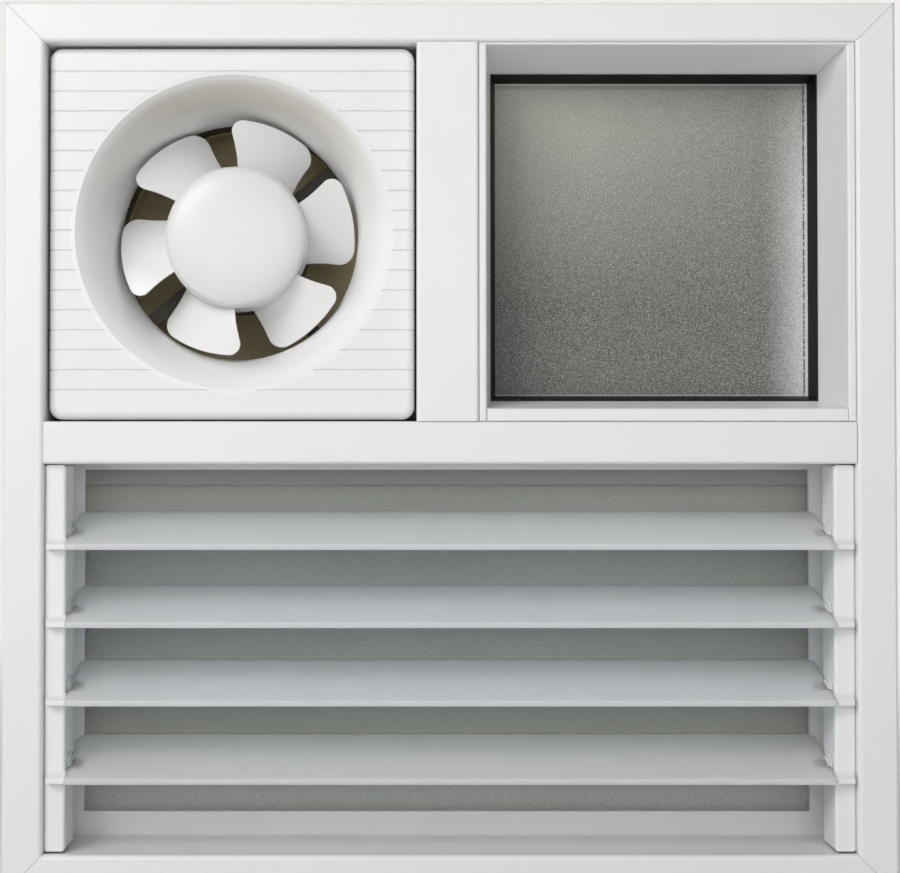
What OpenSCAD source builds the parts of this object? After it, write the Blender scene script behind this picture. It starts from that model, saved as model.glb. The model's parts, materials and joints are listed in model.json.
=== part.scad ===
// Ventilating window unit: exhaust fan, fixed obscure pane and tilting glass louvre
// in one mitred hollow-profile frame. Millimetres, +Z up, the room side faces -Y.
// The origin is the centre of the frame's bottom face.
// Depths ("at", "front", "back") are counted from the frame's front face towards +Y.

/* [Window frame] */
// Overall width of the window
window_w = 610; // [560:1:700]
// Overall height of the window
window_h = 610; // [590:1:700]
// Depth of the frame, front to back
frame_d = 100; // [94:1:120]
// Face width of the outer frame
face_w = 27.5; // [24:0.5:32]
// Wall of the hollow profiles
wall = 2.6; // [2:0.1:3.2]
// Web between two chambers of a profile
web = 1.6; // [1:0.1:2.4]
// Rounding of the profiles' outer front edges
edge_r = 2.4; // [1:0.1:3.5]
// Rounding of the outer frame's front edges towards the bays
inner_edge_r = 3.4; // [1:0.1:4]
// Width of the glazing leg of the outer frame
leg_w = 17; // [14:0.5:20]
// Width of the glazing leg of transom and mullion
bar_leg_w = 11; // [9.5:0.5:12]
// Width of the transom's lower leg, above the louvre
low_leg_w = 4; // [3:0.5:12]
// Thickness of the glazing legs
leg_t = 5; // [4:0.5:7]
// Depth at which the glazing legs start
leg_at = 70; // [69:0.5:74]
// Clear height of the two upper bays
upper_h = 260; // [250:1:280]
// Height of the transom's face
transom_h = 29; // [24:0.5:36]
// Place of the mullion's centre line
mullion_x = -1.4; // [-10:0.1:4]
// Width of the mullion's face
mullion_w = 42.5; // [36:0.5:50]
// Radius of the wall fixing holes in the jambs
fixing_r = 2.75; // [2:0.25:3.5]
// Distance between the two fixing holes of a jamb
fixing_pitch = 400; // [300:10:460]

/* [Fixed pane] */
// Thickness of the glass
glass_t = 4; // [3:0.5:5]
// How far the pane's edge stays inside its bay
pane_inset = 5; // [4:0.5:6]
// Width of the side beads' front strip
bead_face = 5.5; // [4:0.5:7]
// Width of the top bead's front strip
top_bead_face = 2; // [2:0.5:6]
// Width of the bottom bead's front strip
sill_bead_face = 9; // [4:0.5:11]
// Width of the top bead at the glass
bead_w = 12; // [10:0.5:15]
// Width of the left bead at the glass
left_bead_w = 10.5; // [9:0.5:15]
// Width of the right bead at the glass
right_bead_w = 15; // [10:0.5:18]
// Width of the bottom bead at the glass
sill_bead_w = 15.5; // [12:0.5:18]
// Depth of the bead's front below the frame's face
bead_front = 1; // [0.5:0.5:4]
// Wall of the hollow bead
bead_wall = 2; // [1.5:0.1:2.4]
// Visible width of the wedge gasket
gasket_w = 4; // [2.5:0.5:5]
// Width of the gasket's foot under the beads
gasket_foot = 8; // [5:0.5:8]
// Height of the wedge gasket along the bead
gasket_h = 14; // [9:0.5:16]
// Thickness of the flat seal between pane and leg
seal_t = 4; // [3:0.5:5]
// Length of a setting block
block_l = 25; // [15:1:40]

/* [Fan front] */
// Gap between the fascia and its bay, all round
fascia_gap = 1.5; // [1:0.1:4]
// Depth of the fascia's face
fascia_at = 10; // [8:0.5:14]
// How far the fascia's rim reaches back from its face
fascia_rim = 30; // [24:1:34]
// Wall of the fascia moulding
fascia_wall = 2.5; // [2:0.1:3]
// Radius of the fascia's corners
fascia_corner_r = 9; // [7:0.5:14]
// Radius of the fascia's rolled edge
fascia_roll_r = 5.5; // [4:0.5:6.5]
// Number of grooves across the face
groove_count = 17; // [9:1:17]
// Distance between two grooves
groove_pitch = 13.75; // [10:0.25:14]
// How far the middle groove lies above the centre of the bay
groove_rise = 1.8; // [0:0.1:3]
// Width of a groove at the face
groove_w = 1.5; // [1:0.1:2.4]
// Depth of a groove
groove_deep = 0.7; // [0.4:0.1:1.4]
// How far the fan axis lies above the centre of its bay
fan_rise = 1; // [0:0.1:4]
// How far the fan axis lies to the right of the centre of its bay
fan_shift = 0.6; // [0:0.1:2]
// Throat radius of the bell-mouth
throat_r = 85; // [84.4:0.1:87]
// How much the bell-mouth opens from throat to lip
flare = 23.6; // [18:0.2:25]
// Length of the bell-mouth
bell_l = 66; // [60:1:70]
// Angle of the bell-mouth's lip to the fan axis, 90 for level with the face
lip_angle = 72; // [60:1:84]
// Wall of the bell-mouth
bell_wall = 2.2; // [1.8:0.1:2.8]
// Thickness of the fan panel
panel_t = 4; // [3:0.5:5]

/* [Duct and flap] */
// Inner radius of the duct
duct_r = 89.5; // [89.2:0.1:91]
// Wall of the duct
duct_wall = 2.5; // [2:0.1:3]
// Length of the duct behind the panel
duct_l = 80; // [78:1:100]
// Radius of the duct's flange
flange_r = 102; // [99:0.5:103]
// Thickness of the duct's flange
flange_t = 3; // [2.5:0.5:4]
// Height of the flap's pin above the fan axis
flap_pin_rise = 98; // [97:0.5:104]
// Radius of the flap's pin
flap_pin_r = 1.5; // [1.2:0.1:2]
// Thickness of the flap
flap_t = 1.6; // [1.2:0.1:2.4]

/* [Motor] */
// Outer radius of the motor shells
motor_r = 43; // [40:0.5:44]
// Length of the two motor shells together
motor_l = 46; // [42:1:48]
// Wall of the motor shells
motor_wall = 1.8; // [1.5:0.1:2.4]
// Radius of the motor shaft
shaft_r = 4; // [3:0.5:5]
// Radial clearance of the shaft in its bearings
shaft_fit = 0.04; // [0.01:0.01:0.1]
// Outer radius of a bearing bush
bush_r = 8; // [7:0.5:10]
// Length of a bearing bush
bush_l = 8; // [6:0.5:9]
// Air gap between rotor and stator
air_gap = 0.4; // [0.3:0.05:0.8]
// Radius of the rotor
rotor_r = 24; // [20:0.5:28]
// Length of the stator core and of the rotor in it
core_l = 22; // [18:1:24]
// Length of the winding's end turns on each face of the core
winding_l = 5; // [4:0.5:6]
// Width of a bracket arm
arm_w = 10; // [7:0.5:14]
// Number of bracket arms
arm_count = 4; // [3:1:6]

/* [Impeller] */
// Number of blades
blade_count = 6; // [4:1:6]
// Radius of the impeller over the blade tips
tip_r = 83.4; // [80:0.1:84]
// Radius of the hub at its rear rim
hub_r = 50.8; // [48:0.1:52]
// Length of the hub
hub_l = 27; // [24:1:28]
// Distance of the hub's front from the rear end of the bell-mouth
hub_inset = 35.5; // [34:0.5:37]
// Wall of the hub
hub_wall = 2.5; // [2:0.1:3.5]
// Thickness of a blade
blade_t = 1.8; // [1.4:0.1:2.6]
// Camber radius of a blade
camber_r = 130; // [100:5:200]
// Pitch of a blade at mid span, in degrees
blade_pitch = 28; // [20:1:30]
// Slant of the blade's camber axis, in degrees, which gives it twist
blade_slant = 25; // [0:1:32]
// Radius of the blade's leading corner
lead_r = 8; // [4:0.5:10]
// Radius of the blade's trailing corner
trail_r = 11; // [6:0.5:13]
// Radius of the spinner cap
cap_r = 49.2; // [46:0.1:49.6]
// Height of the spinner cap's dome
cap_rise = 12; // [9:0.5:12]
// Fullness of the dome, 2 for an ellipse and more for a flatter crown
cap_power = 3; // [2:0.1:4]
// Hollow of a blade's two long edges
blade_bow = 1; // [0:0.1:3]

/* [Louvre] */
// Number of glass blades
louvre_count = 4; // [4:1:4]
// Height of the lowest blade's pivot above the sill
louvre_first = 58.3; // [50:0.1:62]
// Distance of the top blade's pivot below the transom
louvre_top = 48.7; // [46:0.1:56]
// Width of a glass blade
slat_w = 75; // [60:1:75]
// Distance of a blade's pivot from its front edge
slat_front = 27.6; // [24:0.2:30]
// Thickness of a glass blade
slat_t = 4; // [3:0.5:4]
// Radius of a blade's rear corners
slat_corner_r = 9; // [4:0.5:14]
// Tilt of the blades at rest, in degrees, rear edge up
slat_tilt = 16.5; // [10:0.5:25]
// Width of the side channels
channel_w = 14.5; // [13:0.5:18]
// Depth of the side channels, front to back
channel_d = 35; // [32:0.5:40]
// Depth of the channels' front face below the frame's face
channel_at = 6; // [4:0.5:7]
// Wall of the side channels
channel_wall = 1.8; // [1.4:0.1:2.2]
// Gap between a channel and the sill
channel_gap = 1.5; // [1:0.5:5]
// Depth of the blade pivots
pivot_at = 21.5; // [20:0.1:24]
// How far the noses stand out from the channels
nose_out = 8; // [6:0.5:12]
// Height of a nose at its front
nose_h = 4; // [3:0.1:6]
// Radius of a clip's journal
journal_r = 8; // [7.5:0.1:9]
// Running clearance of journals and crank pins
running_fit = 0.08; // [0.02:0.01:0.1]
// Radius of a crank pin
crank_r = 1.6; // [1.2:0.1:2]
// Throw of the cranks
crank_throw = 5.2; // [4:0.1:5.6]
// Thickness of the link bar
link_t = 2.4; // [1.6:0.1:3]
// Width of the link bar
link_w = 8; // [6:0.5:9]
// Thickness of a clip's ledge under the glass
ledge_h = 1.4; // [1:0.1:1.8]
// How far the ledge reaches under the glass
ledge_grip = 9; // [6:0.5:12]
// Thickness of a clip's upper lip
lip_h = 0.8; // [0.6:0.1:1.2]
// How far the upper lip reaches over the glass
lip_grip = 1.5; // [1:0.1:3]
// Length of ledge and lip along the blade's width
jaw_l = 14; // [10:1:15]

/* [Insect screen] */
// Width of the screen frame's bars
screen_bar = 14; // [12:0.5:15]
// Thickness of the screen frame
screen_t = 8; // [6:0.5:9]
// Thickness of the mesh
mesh_t = 0.8; // [0.6:0.1:1.2]
// Width of the groove for the spline that holds the mesh
spline_d = 4; // [3:0.5:4.5]

/* [Fasteners and fits] */
// Gap between parts that move past each other
gap = 0.3; // [0.3:0.1:0.6]
// Shank radius of the screws
screw_r = 1.6; // [1.4:0.1:1.8]
// Head radius of the screws
screw_head_r = 3.4; // [3:0.1:3.8]
// Head height of the screws
screw_head_h = 2.2; // [1.8:0.1:2.4]

/* [Hidden] */
$fn = 96;

eps = 0.01;
screw_fit = 0.05;                      // radial clearance of a screw in its pilot hole
screw_pass = 0.4;                      // radial clearance of a screw in a passing hole
front_y = -frame_d / 2;
white = [0.93, 0.93, 0.94];
dark = [0.13, 0.12, 0.11];
steel = [0.72, 0.72, 0.74];

// clear opening of the frame and its three bays, each [x0, z0, x1, z1]
in_x = window_w / 2 - face_w;
in_z0 = face_w;
in_z1 = window_h - face_w;
transom_z1 = in_z1 - upper_h;
transom_z0 = transom_z1 - transom_h;
mullion_x0 = mullion_x - mullion_w / 2;
mullion_x1 = mullion_x + mullion_w / 2;
outline = [-window_w / 2, 0, window_w / 2, window_h];
fan_bay = [-in_x, transom_z1, mullion_x0, in_z1];
pane_bay = [mullion_x1, transom_z1, in_x, in_z1];
louvre_bay = [-in_x, in_z0, in_x, transom_z0];

// depths of the layers
glass_at = leg_at - seal_t - glass_t;
panel_at = leg_at - seal_t - panel_t;
panel_back = panel_at + panel_t;
bead_back = glass_at - seal_t;
screen_at = leg_at + leg_t + gap;
fixing_at = leg_at + leg_t + 12.5;
fixing_z0 = window_h / 2 - fixing_pitch / 2;

// the fan, in depths along its axis
fan_x = (fan_bay[0] + fan_bay[2]) / 2 + fan_shift;
fan_z = (fan_bay[1] + fan_bay[3]) / 2 + fan_rise;
fascia_w = fan_bay[2] - fan_bay[0] - 2 * fascia_gap;
fascia_h = fan_bay[3] - fan_bay[1] - 2 * fascia_gap;
bell_back = fascia_at + bell_l;
lip_out_r = throat_r + flare + bell_wall;
post_x = fascia_w / 2 - 22.5;
post_z = fascia_h / 2 - 25.5;
post_r = 5;
panel_hole_r = duct_r + duct_wall + gap;
duct_back = panel_back + duct_l;
duct_screw_r = (flange_r + duct_r + duct_wall) / 2;
hub_front = bell_back - hub_inset;
hub_back = hub_front + hub_l;
cap_skirt = 0.5;                       // straight rim of the spinner cap below its dome
cap_front = hub_front - cap_rise - cap_skirt;
motor_front = hub_back + 4;
motor_mid = motor_front + motor_l / 2;
motor_back = motor_front + motor_l;
motor_flange_r = motor_r + 7;
motor_flange_t = 1.4;
bracket_at = motor_mid + motor_flange_t;
bracket_t = 9;
bracket_ring_t = 2.8;
ledge_r = duct_r - 3.4;
ledge_t = 3;
rim_r = duct_r + duct_wall + 1.5;      // of the bead round the duct's end, the flap's seat
flap_at = duct_back + gap;
flap_r = rim_r - 1;
flap_pin_at = duct_back - 3;
knuckle_r = flap_pin_r + 1.6;
knuckle_half = 30;
lug_t = 4;
lug_r = knuckle_r + 0.7;
lug_x = knuckle_half + gap;
pin_half = lug_x + lug_t;
neck_half = 26;
block_w = 8.8;                         // of the screw blocks at the bracket arms' outer ends
arm_turn = 40;                         // angle of the first bracket arm, seen from the room

// the louvre
louvre_pitch = (transom_z0 - in_z0 - louvre_first - louvre_top) / (louvre_count - 1);
channel_z0 = in_z0 + channel_gap;
channel_z1 = transom_z0 - 0.8;
channel_in = in_x - channel_w;         // inner face of a channel
slat_half = channel_in - 1.1;
nose_in = channel_in - 0.6;            // inner end of a nose, beside the blade's end
nose_z = [for (i = [1:louvre_count]) pivot_z(i) - slat_front * sin(slat_tilt)];
crank_angle = slat_tilt - 42.5;        // of the crank pin, from +Y towards +Z, at rest
crank_y = crank_throw * cos(crank_angle);
crank_z = crank_throw * sin(crank_angle);
flange_w = 12;                         // of the channel's rear flange, against the jamb
journal_end = channel_in + channel_wall + 2;
link_in = journal_end + gap;

// blade 1 is the top one
function pivot_z(i) = in_z0 + louvre_first + (louvre_count - i) * louvre_pitch;
function dir(a) = [cos(a), sin(a)];
function turn(p, a) = [p[0] * cos(a) - p[1] * sin(a), p[0] * sin(a) + p[1] * cos(a)];
function arc(c, r, a0, a1, n) = [for (i = [0:n]) c + r * dir(a0 + (a1 - a0) * i / n)];

// ---------- places ----------

module at_front() translate([0, front_y, 0]) children();

// local +Z runs into the depth, local +X to the right, local +Y down
module facing(x, z) translate([x, front_y, z]) rotate([-90, 0, 0]) children();

module on_fan() facing(fan_x, fan_z) children();

// a bar that was made along X on the lower side goes to one side of a rectangle
module on_side(side, r) {
  mid_x = (r[0] + r[2]) / 2;
  mid_z = (r[1] + r[3]) / 2;
  at_front() {
    if (side == "bottom") translate([mid_x, 0, r[1]]) children();
    if (side == "top") translate([mid_x, 0, r[3]]) mirror([0, 0, 1]) children();
    if (side == "left") translate([r[0], 0, mid_z]) rotate([0, 90, 0]) children();
    if (side == "right") translate([r[2], 0, mid_z]) mirror([1, 0, 0]) rotate([0, 90, 0]) children();
  }
}

function side_length(side, r) = (side == "bottom" || side == "top") ? r[2] - r[0] : r[3] - r[1];

// ---------- profiles and bars ----------

// a profile drawn as (width inwards, depth) becomes a bar along X
module along_x(length) rotate([0, -90, 0]) linear_extrude(length, center = true) children();

// bar along X with 45 degree mitres, drawn from its outer edge at z = 0 inwards
module mitred(length, reach) {
  intersection() {
    along_x(length + 2) children();
    translate([0, frame_d + 30, 0]) rotate([90, 0, 0]) linear_extrude(frame_d + 60)
      polygon([[-length / 2 - 1, -1], [length / 2 + 1, -1],
               [length / 2 - reach, reach], [reach - length / 2, reach]]);
  }
}

module mitred_on(side, r, reach) on_side(side, r) mitred(side_length(side, r), reach) children();

// a closed ring of four mitred bars in one piece
module ring_of_bars(r, reach) {
  for (side = ["top", "bottom", "left", "right"]) mitred_on(side, r, reach) children();
}

// what a rounded corner takes off a square one, in the corner at the origin
module corner_cut(r) {
  difference() {
    translate([-1, -1]) square(r + 1);
    translate([r, r]) circle(r);
  }
}

module rounded_rect(w, h, r) {
  square([w - 2 * r, h], center = true);
  square([w, h - 2 * r], center = true);
  for (x = [-1, 1], y = [-1, 1]) translate([x * (w / 2 - r), y * (h / 2 - r)]) circle(r);
}

// hollow body of a profile, w wide, with rounded front edges and three chambers
module chambered(w, far_r = edge_r) {
  chamber_d = (frame_d - 2 * wall - 2 * web) / 3;
  difference() {
    square([w, frame_d]);
    corner_cut(edge_r);
    translate([w, 0]) mirror([1, 0]) corner_cut(far_r);
    for (i = [0:2]) translate([wall, wall + i * (chamber_d + web)]) square([w - 2 * wall, chamber_d]);
  }
}

module frame_profile() {
  chambered(face_w, inner_edge_r);
  translate([face_w - eps, leg_at]) square([leg_w + eps, leg_t]);
}

module divider_profile(w, low = bar_leg_w) {
  chambered(w);
  translate([-low, leg_at]) square([w + low + bar_leg_w, leg_t]);
}

// ---------- screws ----------

// pan-head screw along +Z, its head below z = 0
module screw(length) {
  difference() {
    union() {
      translate([0, 0, -screw_head_h])
        cylinder(r1 = screw_head_r * 0.72, r2 = screw_head_r, h = screw_head_h * 0.5);
      translate([0, 0, -screw_head_h / 2 - eps]) cylinder(r = screw_head_r, h = screw_head_h / 2 + eps);
      cylinder(r = screw_r, h = length - screw_r);
      translate([0, 0, length - screw_r - eps]) cylinder(r1 = screw_r, r2 = screw_r * 0.3, h = screw_r);
    }
    for (a = [0, 90]) rotate(a) translate([0, 0, -screw_head_h])
      cube([screw_head_r * 1.1, screw_head_h * 0.3, screw_head_h], center = true);
  }
}

module pilot(length) translate([0, 0, -eps]) cylinder(r = screw_r + screw_fit, h = length + 2 * eps);
module passing(length) translate([0, 0, -eps]) cylinder(r = screw_r + screw_pass, h = length + 2 * eps);

// the screws that hold the fan panel, through it into the legs of left jamb and mullion
module at_panel_screws() {
  for (x = [fan_bay[0] + 8, fan_bay[2] - 7], z = [fan_bay[1] + 22, fan_bay[3] - 26])
    facing(x, z) translate([0, 0, panel_at]) children();
}

// the screws that hold the insect screen, from behind into the jamb legs
module at_screen_screws() {
  for (x = [-1, 1], z = [louvre_bay[1] + 30, louvre_bay[3] - 30])
    facing(x * (in_x - 5), z) translate([0, 0, screen_at + screen_t]) rotate([180, 0, 0]) children();
}

// the screws that hold a channel's rear flange to its jamb, outwards along X
module at_channel_screws(side) {
  for (k = [0.12, 0.5, 0.88])
    translate([side * (in_x - channel_wall), front_y + channel_at + channel_d + flange_w / 2 + 0.5,
               channel_z0 + k * (channel_z1 - channel_z0)])
      rotate([0, side * 90, 0]) children();
}

module fascia_posts() for (x = [-1, 1], y = [-1, 1]) translate([x * post_x, y * post_z, 0]) children();
module duct_screw_places() for (a = [45:90:315]) rotate(a) translate([duct_screw_r, 0, 0]) children();

// ---------- window frame ----------

module jamb_holes(side) {
  for (z = [fixing_z0, fixing_z0 + fixing_pitch])
    translate([side * (in_x - 1), front_y + fixing_at, z]) rotate([0, side * 90, 0])
      cylinder(r = fixing_r, h = face_w + 2);
  at_channel_screws(side) pilot(channel_wall + wall + 2);
}

module frame_head() color(white) mitred_on("top", outline, face_w + leg_w + 1) frame_profile();

module frame_sill() color(white) mitred_on("bottom", outline, face_w + leg_w + 1) frame_profile();

module frame_jamb_left() color(white) difference() {
  mitred_on("left", outline, face_w + leg_w + 1) frame_profile();
  jamb_holes(-1);
  at_panel_screws() pilot(leg_at + leg_t - panel_at);
  at_screen_screws() pilot(screen_t + gap + leg_t);
}

module frame_jamb_right() color(white) difference() {
  mitred_on("right", outline, face_w + leg_w + 1) frame_profile();
  jamb_holes(1);
  at_screen_screws() pilot(screen_t + gap + leg_t);
}

// notches over the legs that a divider meets at its two ends
module leg_slot(x, z, w, h) translate([x, front_y + leg_at - eps, z]) cube([w, leg_t + 2 * eps, h]);

module transom() color(white) difference() {
  translate([0, 0, transom_z0]) at_front() along_x(2 * in_x) divider_profile(transom_h, low_leg_w);
  leg_slot(-in_x - eps, transom_z0 - leg_w, leg_w + eps, transom_h + 2 * leg_w);
  leg_slot(in_x - leg_w, transom_z0 - leg_w, leg_w + eps, transom_h + 2 * leg_w);
}

module mullion() color(white) difference() {
  translate([mullion_x0, front_y, (transom_z1 + in_z1) / 2]) rotate([0, 90, 0])
    along_x(in_z1 - transom_z1) divider_profile(mullion_w);
  leg_slot(mullion_x0 - leg_w, transom_z1 - eps, mullion_w + 2 * leg_w, bar_leg_w + eps);
  leg_slot(mullion_x0 - leg_w, in_z1 - leg_w, mullion_w + 2 * leg_w, leg_w + eps);
  at_panel_screws() pilot(leg_at + leg_t - panel_at);
}

// ---------- fixed pane ----------

// hollow bead: a front strip and a slope that leans in towards the glass
module bead_profile(face, w) {
  nose = 1.6;
  slope_end = glass_at - gasket_h;
  lean = atan2(w - face, slope_end - bead_front);
  slope = (w - face) / (slope_end - bead_front);
  inner = 1.05 * bead_wall;
  room_at = max(bead_front + bead_wall, bead_front + (gap + bead_wall + inner + 0.6 - face) / slope);
  difference() {
    polygon(concat([[gap, bead_front]],
                   arc([face - nose, bead_front + nose], nose, -90, -lean, 5),
                   [[w, slope_end], [w, bead_back], [gap, bead_back]]));
    polygon([[gap + bead_wall, room_at], [face + slope * (room_at - bead_front) - inner, room_at],
             [w - inner, slope_end], [w - inner, bead_back - bead_wall],
             [gap + bead_wall, bead_back - bead_wall]]);
  }
}

function side_bead_w(side) = side == "left" ? left_bead_w : right_bead_w;

// the corner seam between top and side bead, as [distance from the side, distance from the top]
function seam(side) = [[gap, gap], [bead_face, top_bead_face],
                       [side_bead_w(side), bead_w] * 1.1 - [bead_face, top_bead_face] * 0.1];

// all that lies outside a side bead's slope, which the bottom bead is scribed to
module side_bead_room(w) {
  play = 0.05;
  polygon([[-1, bead_front - 1], [bead_face + play, bead_front - 1], [bead_face + play, bead_front],
           [w + play, glass_at - gasket_h], [w + play, bead_back + 1], [-1, bead_back + 1]]);
}

// what a polygon in the plane of the bars leaves of them
module trimmed(outline) intersection() {
  children();
  translate([0, frame_d, 0]) rotate([90, 0, 0]) linear_extrude(frame_d + 10) polygon(outline);
}

module glazing_bead_top() color(white) {
  half = side_length("top", pane_bay) / 2;
  left = seam("left");
  right = seam("right");
  on_side("top", pane_bay)
    trimmed([[gap - half, -1], for (p = left) [p[0] - half, p[1]],
             for (i = [2:-1:0]) [half - right[i][0], right[i][1]], [half - gap, -1]])
      along_x(2 * half + 2) bead_profile(top_bead_face, bead_w);
}

// mitred at the top, cut square on the transom
module side_bead(side) color(white) {
  half = side_length(side, pane_bay) / 2;
  w = side_bead_w(side);
  on_side(side, pane_bay)
    trimmed([[gap - half, -1], for (p = seam(side)) [p[1] - half, p[0]],
             [half - gap, w * 1.1], [half - gap, -1]])
      along_x(2 * half + 2) bead_profile(bead_face, w);
}

module glazing_bead_bottom() color(white) difference() {
  on_side("bottom", pane_bay) along_x(side_length("bottom", pane_bay) - bead_face)
    bead_profile(sill_bead_face, sill_bead_w);
  for (side = ["left", "right"])
    on_side(side, pane_bay) along_x(side_length(side, pane_bay) + 2) side_bead_room(side_bead_w(side));
}

// wedge that shows as a black line between bead and glass, with its foot under the bead
module gasket_profile() {
  lip = 1.2;
  edge = gasket_foot + gasket_w;
  polygon([[0, bead_back], [gasket_foot, bead_back], [gasket_foot, glass_at - gasket_h],
           [gasket_foot + lip, glass_at - gasket_h], [edge, glass_at - lip], [edge, glass_at], [0, glass_at]]);
}

module glazing_gasket() color([0.06, 0.06, 0.06])
  ring_of_bars([pane_bay[0] + left_bead_w - gasket_foot, pane_bay[1] + sill_bead_w - gasket_foot,
                pane_bay[2] - right_bead_w + gasket_foot, pane_bay[3] - bead_w + gasket_foot],
               gasket_foot + gasket_w + 1) gasket_profile();

module obscure_pane() color([0.55, 0.58, 0.55, 0.9])
  translate([pane_bay[0] + pane_inset, front_y + glass_at, pane_bay[1] + pane_inset])
    cube([pane_bay[2] - pane_bay[0] - 2 * pane_inset, glass_t, pane_bay[3] - pane_bay[1] - 2 * pane_inset]);

module seal_profile(from, to) translate([from, leg_at - seal_t]) square([to - from, seal_t]);

module pane_rear_seal() color(dark)
  ring_of_bars(pane_bay, bar_leg_w) seal_profile(pane_inset + 0.5, bar_leg_w - 0.5);

module setting_blocks() color([0.2, 0.3, 0.6])
  for (k = [0.2, 0.8])
    translate([pane_bay[0] + k * (pane_bay[2] - pane_bay[0]) - block_l / 2,
               front_y + glass_at, pane_bay[1]])
      cube([block_l, glass_t, pane_inset]);

// ---------- fan front ----------

module fan_panel() color(white) difference() {
  translate([fan_bay[0] + 1, front_y + panel_at, fan_bay[1] + 1])
    cube([fan_bay[2] - fan_bay[0] - 2, panel_t, fan_bay[3] - fan_bay[1] - 2]);
  on_fan() translate([0, 0, panel_at - 1]) cylinder(r = panel_hole_r, h = panel_t + 2);
  on_fan() translate([0, 0, panel_at]) {
    fascia_holes() passing(panel_t);
    duct_screw_places() passing(panel_t);
  }
  at_panel_screws() passing(panel_t);
}

// the fascia's posts stand round the centre of the bay, not round the fan axis
module fascia_holes() translate([-fan_shift, fan_rise, 0]) fascia_posts() children();

module panel_seal() color(dark) ring_of_bars(fan_bay, 5) seal_profile(1, 4.5);

module panel_screws() color(steel) at_panel_screws() screw(leg_at + leg_t + 1 - panel_at);

// from the middle (x = 0) out to the side, with the front edge rolled over
module roll_profile(w, deep, roll) {
  difference() {
    square([w, deep]);
    translate([w, 0]) mirror([1, 0]) corner_cut(roll);
  }
}

// a slab with rounded corners and a rolled front edge, front face at z = 0
module rolled_slab(w, h, deep, corner, roll) {
  translate([0, 0, deep / 2]) cube([w - 2 * corner, h - 2 * corner, deep], center = true);
  for (a = [0, 180]) rotate(a) {
    translate([w / 2 - corner, 0, 0]) rotate([90, 0, 0])
      linear_extrude(h - 2 * corner, center = true) roll_profile(corner, deep, roll);
    rotate(90) translate([h / 2 - corner, 0, 0]) rotate([90, 0, 0])
      linear_extrude(w - 2 * corner, center = true) roll_profile(corner, deep, roll);
    translate([w / 2 - corner, h / 2 - corner, 0])
      rotate_extrude(angle = 90) roll_profile(corner, deep, roll);
    translate([w / 2 - corner, corner - h / 2, 0]) rotate(-90)
      rotate_extrude(angle = 90) roll_profile(corner, deep, roll);
  }
}

// one V groove across the face, which also runs over the rolled edges at both ends
module face_groove() {
  rim_x = fascia_w / 2 - fascia_roll_r;
  rotate([90, 0, 90]) linear_extrude(2 * rim_x, center = true)
    polygon([[-groove_w / 2, -0.02], [groove_w / 2, -0.02], [0, groove_deep]]);
  for (s = [0, 1]) mirror([s, 0, 0])
    translate([rim_x, 0, fascia_roll_r]) rotate([90, 0, 0]) rotate(-90) rotate_extrude(angle = 90)
      polygon([[fascia_roll_r - groove_deep, 0], [fascia_roll_r + 0.02, -groove_w / 2],
               [fascia_roll_r + 0.02, groove_w / 2]]);
}

// bell-mouth: part of a quarter ellipse that opens from the throat to the lip
module bell() {
  steps = 14;
  open = flare / (1 - cos(lip_angle));
  long = bell_l / sin(lip_angle);
  back_l = (bell_l - bell_wall) / sin(lip_angle);
  angles = [for (i = [0:steps]) lip_angle * i / steps];
  inside = [for (a = angles) [throat_r + open * (1 - cos(a)), bell_back - long * sin(a)]];
  outside = [for (i = [steps:-1:0])
    [throat_r + bell_wall + open * (1 - cos(angles[i])), bell_back - back_l * sin(angles[i])]];
  rotate_extrude() polygon(concat(inside, [[lip_out_r, fascia_at]], outside));
}

module fan_fascia() color(white) {
  difference() {
    facing((fan_bay[0] + fan_bay[2]) / 2, (fan_bay[1] + fan_bay[3]) / 2) {
      difference() {
        translate([0, 0, fascia_at])
          rolled_slab(fascia_w, fascia_h, fascia_rim, fascia_corner_r, fascia_roll_r);
        translate([0, 0, fascia_at + fascia_wall])
          rolled_slab(fascia_w - 2 * fascia_wall, fascia_h - 2 * fascia_wall, fascia_rim,
                      fascia_corner_r - fascia_wall, fascia_roll_r - fascia_wall);
        for (i = [0:groove_count - 1])
          translate([0, (i - (groove_count - 1) / 2) * groove_pitch - groove_rise, fascia_at])
            face_groove();
      }
      fascia_posts() translate([0, 0, fascia_at + 1.2])
        cylinder(r = post_r, h = panel_at - fascia_at - 1.2);
    }
    on_fan() translate([0, 0, fascia_at - 2]) cylinder(r = lip_out_r - 1, h = fascia_wall + 4);
    on_fan() fascia_holes() translate([0, 0, panel_at - 14]) pilot(14);
  }
  on_fan() bell();
}

module fascia_screws() color(steel)
  on_fan() fascia_holes() translate([0, 0, panel_back]) rotate([180, 0, 0]) screw(panel_t + 12);

// ---------- duct and flap ----------

module tube(r_out, r_in, h) difference() {
  cylinder(r = r_out, h = h);
  translate([0, 0, -1]) cylinder(r = r_in, h = h + 2);
}

// along the radius from outside the duct towards the ends of the bracket arms
module at_bracket_screws() {
  on_fan() for (i = [0:arm_count - 1]) rotate(-arm_turn - i * 360 / arm_count)
    translate([duct_r + duct_wall, 0, bracket_at + bracket_t / 2]) rotate([0, -90, 0]) children();
}

// along the flap's pin, local +Z along X
module on_flap_pin() on_fan() translate([0, -flap_pin_rise, flap_pin_at]) rotate([0, 90, 0]) children();

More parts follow.
